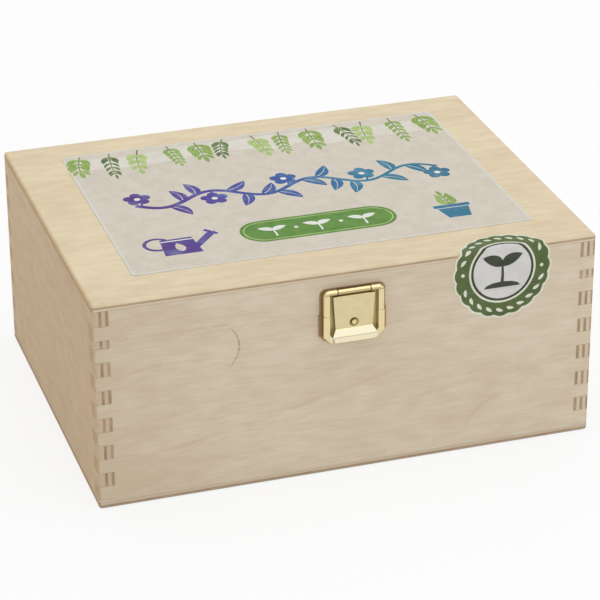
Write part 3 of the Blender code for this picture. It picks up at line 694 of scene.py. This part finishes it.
def label_artwork():
    """A garden label: leaves hang along its rear edge, a vine crosses it, and a plaque lies in front."""
    draw = random.Random(7)
    art = Artwork("label_border", rounded(LABEL_LEFT, LABEL_FRONT, LABEL_RIGHT, LABEL_REAR, LABEL_CORNER))
    inner = (LABEL_LEFT + BORDER, LABEL_FRONT + BORDER, LABEL_RIGHT - BORDER, LABEL_REAR - BORDER)
    art.ink("label_paper", rounded(*inner, LABEL_CORNER))
    middle = Vector(((LABEL_LEFT + LABEL_RIGHT) / 2, (LABEL_FRONT + LABEL_REAR) / 2))
    morning_mist(art, draw)
    hanging_leaves(art, draw)
    flowering_vine(art, middle + Vector((0, 3.0)))
    front_plaque(art, middle + Vector((0, -43.0)))
    watering_can(art, middle + Vector((-68.0, -44.0)))
    potted_seedling(art, middle + Vector((66.0, -45.0)))
    return art


def morning_mist(art, draw):
    for i in range(12):
        centre = (LABEL_LEFT + 14.0 + i * 15.0, LABEL_REAR - 11.0 - 5.0 * draw.random())
        art.ink("mist", circle(centre, draw.uniform(6.0, 9.5), 24, 1.6))


def hanging_leaves(art, draw):
    kinds = [
        ("fresh_leaf", "soft_leaf", (11.0, 4.2), 4),
        ("deep_leaf", "fresh_leaf", (8.0, 2.4), 6),
        ("soft_leaf", "fresh_leaf", (9.0, 6.0), 3),
        ("fresh_leaf", "soft_leaf", (7.5, 3.0), 5),
    ]
    count, end_gap, edge_gap = 13, 9.0, 2.0
    for i in range(count):
        x = LABEL_LEFT + end_gap + (LABEL_RIGHT - LABEL_LEFT - 2 * end_gap) * i / (count - 1)
        ink, vein, leaf, pairs = kinds[i % len(kinds)]
        sway = draw.uniform(-0.5, 0.5)
        length = draw.uniform(19.0, 31.0)
        foot = Vector((x, LABEL_REAR - edge_gap))
        art.sprig(foot, -math.pi / 2 + sway, length, pairs, leaf, ink, vein, -sway)


def flowering_vine(art, middle):
    """A vine in three waves. Each blossom stands inside a bend, and the leaves beside it turn away."""
    half, swing, steps, blossom_rise = 76.0, 6.0, 60, 9.0
    path = []
    for i in range(steps + 1):
        t = -1 + i * 2 / steps
        path.append(middle + Vector((half * t, swing * math.sin(t * math.pi * 3))))
    art.stem("dusk_ink", path, 3.0, 2.0)
    rises = {i: -blossom_rise if path[i].y > middle.y else blossom_rise for i in (1, 15, 30, 45, 59)}
    leaf_every = 3
    side = 1
    for i in range(leaf_every, steps - 2, leaf_every):
        blossom = min(rises, key=lambda at: abs(i - at))
        if abs(i - blossom) < leaf_every:
            continue
        ahead = path[i + 1] - path[i - 1]
        turn = math.atan2(ahead.y, ahead.x)
        side = -side
        if abs(i - blossom) == leaf_every:
            side = 1 if rises[blossom] < 0 else -1
        art.leaf("dusk_ink", path[i], turn + side * 0.95, 14.5, 6.4, "label_paper", side * 0.5)
    for i, rise in rises.items():
        centre = path[i] + Vector((0, rise))
        art.stem("dusk_ink", [path[i], path[i] + Vector((1.2, rise / 2)), centre], 1.2, 0.8)
        art.blossom(centre, 5, 7.0, "dusk_ink", "pale_wash")


def front_plaque(art, middle):
    half_length, half_width = 38.0, 11.5
    for ink, inset in (("plaque_green", 0.0), ("soft_leaf", 1.6), ("plaque_green", 2.2)):
        across, up = half_length - inset, half_width - inset
        corners = (middle.x - across, middle.y - up, middle.x + across, middle.y + up)
        art.ink(ink, rounded(*corners, up - 0.1, 8))
    for offset in (-22.0, 0.0, 22.0):
        art.seedling(middle + Vector((offset, -6.5)), 11.0, "pale_wash")
    for offset in (-11.0, 11.0):
        art.ink("pale_wash", circle(middle + Vector((offset, 0)), 1.1, 12))


def watering_can(art, middle):
    handle = middle + Vector((-9.5, 2.0))
    art.ink("dusk_ink", circle(handle, 7.0, 24))
    art.ink("label_paper", circle(handle, 5.2, 24))
    art.polygon("dusk_ink", middle, (4, -6), (6, -9), (19, 6), (20, 9), (15.5, 8))
    art.polygon("dusk_ink", middle, (14.5, 10.5), (19.5, 4.8), (21, 6.2), (16, 12))
    art.polygon("dusk_ink", middle, (-9, -11), (9, -11), (7.6, 6), (-7.6, 6))
    art.polygon("pale_wash", middle, (-7.7, 3.4), (7.7, 3.4), (7.6, 4.4), (-7.6, 4.4))
    art.leaf("label_paper", middle + Vector((0, -8)), math.pi / 2, 9.0, 4.6, None, 0.2)


def potted_seedling(art, middle):
    art.sprig(middle, math.pi / 2, 15.0, 3, (9.0, 3.6), "fresh_leaf", "soft_leaf", 0.1)
    art.polygon("dusk_ink", middle, (-5.5, -11), (5.5, -11), (7.8, 0), (-7.8, 0))
    art.polygon("dusk_ink", middle, (-9.0, 0), (9.0, 0), (9.0, 3.4), (-9.0, 3.4))
    art.polygon("pale_wash", middle, (-9.0, -0.3), (9.0, -0.3), (9.0, 0.2), (-9.0, 0.2))


def make_label(inks):
    bm, materials = flat_print(label_artwork(), inks)
    bottom = HEIGHT + PAPER_GAP
    thicken(bm, bottom, bottom + PAPER, materials.index(inks["label_paper"]))
    label = piece("label", bm, materials, "lid", "lid_label")


def scalloped(inset, steps=12):
    """The seal's scalloped outline, drawn in by inset."""
    rim = []
    for i in range(SEAL_LOBES * steps):
        angle = math.tau * i / (SEAL_LOBES * steps)
        radius = SEAL_RADIUS - inset + LOBE_DEPTH * (abs(math.cos(SEAL_LOBES * angle / 2)) - LOBE_MIDDLE)
        rim.append(Vector((SEAL_X, SEAL_Z)) + polar(angle, radius))
    return rim


def seal_artwork():
    """A scalloped seal: a pale rim, a green ring with a wreath of leaves, and a seedling in the middle."""
    centre = Vector((SEAL_X, SEAL_Z))
    art = Artwork("seal_paper", scalloped(0.0))
    art.ink("seal_green", scalloped(1.1))
    leaves, wreath_radius, side_gap = 24, 19.3, 0.25
    for i in range(leaves):
        angle = math.tau * (i + 0.5) / leaves
        if abs(math.sin(angle)) >= side_gap:
            foot = centre + polar(angle, wreath_radius)
            art.leaf("seal_paper", foot, angle + math.pi / 2 - 0.5, 4.0, 1.7, None, 0.3)
    for offset in (19.4, -19.4):
        art.ink("seal_paper", circle(centre + Vector((offset, 0)), 0.9, 12))
    for ink, radius in (("seal_paper", 16.4), ("seal_dark", 15.4), ("seal_disc", 14.2)):
        art.ink(ink, circle(centre, radius, 72))
    turns = (0, 0.5, 1, 1.57, 2.1, 2.6, math.pi)
    mound = [(9.0 * math.cos(a), -8.6 + 3.0 * math.sin(a)) for a in turns]
    art.polygon("seal_dark", centre, *mound)
    art.seedling(centre + Vector((0, -6.5)), 15.5, "seal_dark")
    return art


def folded(rise, lift):
    """The y and z of a point on the seal, from its height along the front and its lift off the wood."""
    seat = EDGE_RADIUS + PAPER_GAP
    turn = (rise - (HEIGHT - EDGE_RADIUS)) / seat
    angle = min(max(turn, 0.0), math.pi / 2)
    reach = EDGE_RADIUS + lift
    y = FRONT + EDGE_RADIUS - reach * math.cos(angle) + seat * max(turn - math.pi / 2, 0.0)
    z = HEIGHT - EDGE_RADIUS + reach * math.sin(angle) + seat * min(turn, 0.0)
    return y, z


def make_seal(inks, name, low, high, body, replaced):
    """The part of the seal between two heights, folded over the lid's front edge."""
    bm, materials = flat_print(seal_artwork(), inks)
    start = HEIGHT - EDGE_RADIUS
    turn = (EDGE_RADIUS + PAPER_GAP) * math.pi / 2
    folds = [(start + turn * i / FOLD_STEPS, False, False) for i in range(FOLD_STEPS + 1)]
    for height, below, above in folds + [(low, True, False), (high, False, True)]:
        bmesh.ops.bisect_plane(
            bm,
            geom=bm.verts[:] + bm.edges[:] + bm.faces[:],
            plane_co=(0, height, 0),
            plane_no=(0, 1, 0),
            clear_inner=below,
            clear_outer=above,
        )
    thicken(bm, PAPER_GAP, PAPER_GAP + PAPER, materials.index(inks["seal_paper"]))
    for vert in bm.verts:
        vert.co = (vert.co.x, *folded(vert.co.y, vert.co.z))
    bmesh.ops.recalc_face_normals(bm, faces=bm.faces)
    seal = piece(name, bm, materials, body, replaced)


# Studio


CAMERA_PLACE = (-0.34989, -1.11187, 0.62352)
CAMERA_AZIMUTH = math.radians(-17.70)
CAMERA_ELEVATION = math.radians(26.39)
CAMERA_ROLL = math.radians(-0.25)
CAMERA_LENS = 159.8
LAMP_TARGET = Vector((0, 0, 0.05))
ROOM_LIGHT = 0.41
FLOOR_HALF = 4.0
FLOOR_GLOW = 0.82


def place_camera():
    camera = bpy.data.objects.new("camera", bpy.data.cameras.new("camera"))
    bpy.context.scene.collection.objects.link(camera)
    camera.data.lens = CAMERA_LENS
    camera.data.sensor_width = 36.0
    turn = Matrix.Rotation(CAMERA_AZIMUTH, 4, "Z")
    tilt = Matrix.Rotation(math.pi / 2 - CAMERA_ELEVATION, 4, "X")
    roll = Matrix.Rotation(CAMERA_ROLL, 4, "Z")
    camera.matrix_world = Matrix.Translation(CAMERA_PLACE) @ turn @ tilt @ roll
    bpy.context.scene.camera = camera


def soft_lamp(name, place, size, power):
    lamp = bpy.data.objects.new(name, bpy.data.lights.new(name, "AREA"))
    bpy.context.scene.collection.objects.link(lamp)
    lamp.data.shape = "DISK"
    lamp.data.size = size
    lamp.data.energy = power
    lamp.location = place
    lamp.rotation_euler = (LAMP_TARGET - Vector(place)).to_track_quat("-Z", "Y").to_euler()


def light_studio():
    soft_lamp("top_light", (0.1, 0.3, 1.5), 3.0, 20.4)
    soft_lamp("front_light", (0.6, -1.7, 0.45), 2.8, 17.5)
    world = bpy.data.worlds.new("studio")
    bpy.context.scene.world = world
    world.use_nodes = True
    room = Graph(world.node_tree)
    background = room.tree.nodes["Background"]
    room.join((1.0, 1.0, 1.0), background.inputs["Color"])
    room.join(room.background_rays() * (1.0 - ROOM_LIGHT) + ROOM_LIGHT, background.inputs["Strength"])


def lay_floor():
    mesh = bpy.data.meshes.new("floor")
    half = FLOOR_HALF
    corners = [(-half, -half, 0), (half, -half, 0), (half, half, 0), (-half, half, 0)]
    mesh.from_pydata(corners, [], [(0, 1, 2, 3)])
    floor = bpy.data.objects.new("floor", mesh)
    bpy.context.scene.collection.objects.link(floor)
    paper = Finish("floor_paper", {"Roughness": 0.9, "Base Color": (0.95, 0.95, 0.95, 1.0)})
    glow = paper.node("Emission", {}, {"Strength": 1.0})
    surface = Value(paper, paper.shader.outputs["BSDF"])
    mixed = paper.node("MixShader", {}, {0: paper.background_rays() * FLOOR_GLOW, 1: surface, 2: glow})
    paper.join(mixed, paper.tree.nodes["Material Output"].inputs["Surface"])
    mesh.materials.append(paper.material)


def main():
    dress_walls()
    dress_panels()
    latch = [name for name in nodes if "latch" in name or "keeper" in name]
    dress(brass_plating("latch_brass", latch=True), *latch)
    dress(brass_plating("hinge_brass"), *[name for name in nodes if "hinge" in name])
    dress(spring_steel(), "latch_spring")
    inks = make_inks()
    make_label(inks)
    make_seal(inks, "seal_on_lid", SEAM + SEAM_GAP / 2, 2 * HEIGHT, "lid", "lid_seal")
    make_seal(inks, "seal_on_base", 0.0, SEAM - SEAM_GAP / 2, "base", "base_seal")
    place_camera()
    light_studio()
    lay_floor()
    bpy.context.scene.view_settings.view_transform = "Standard"


main()
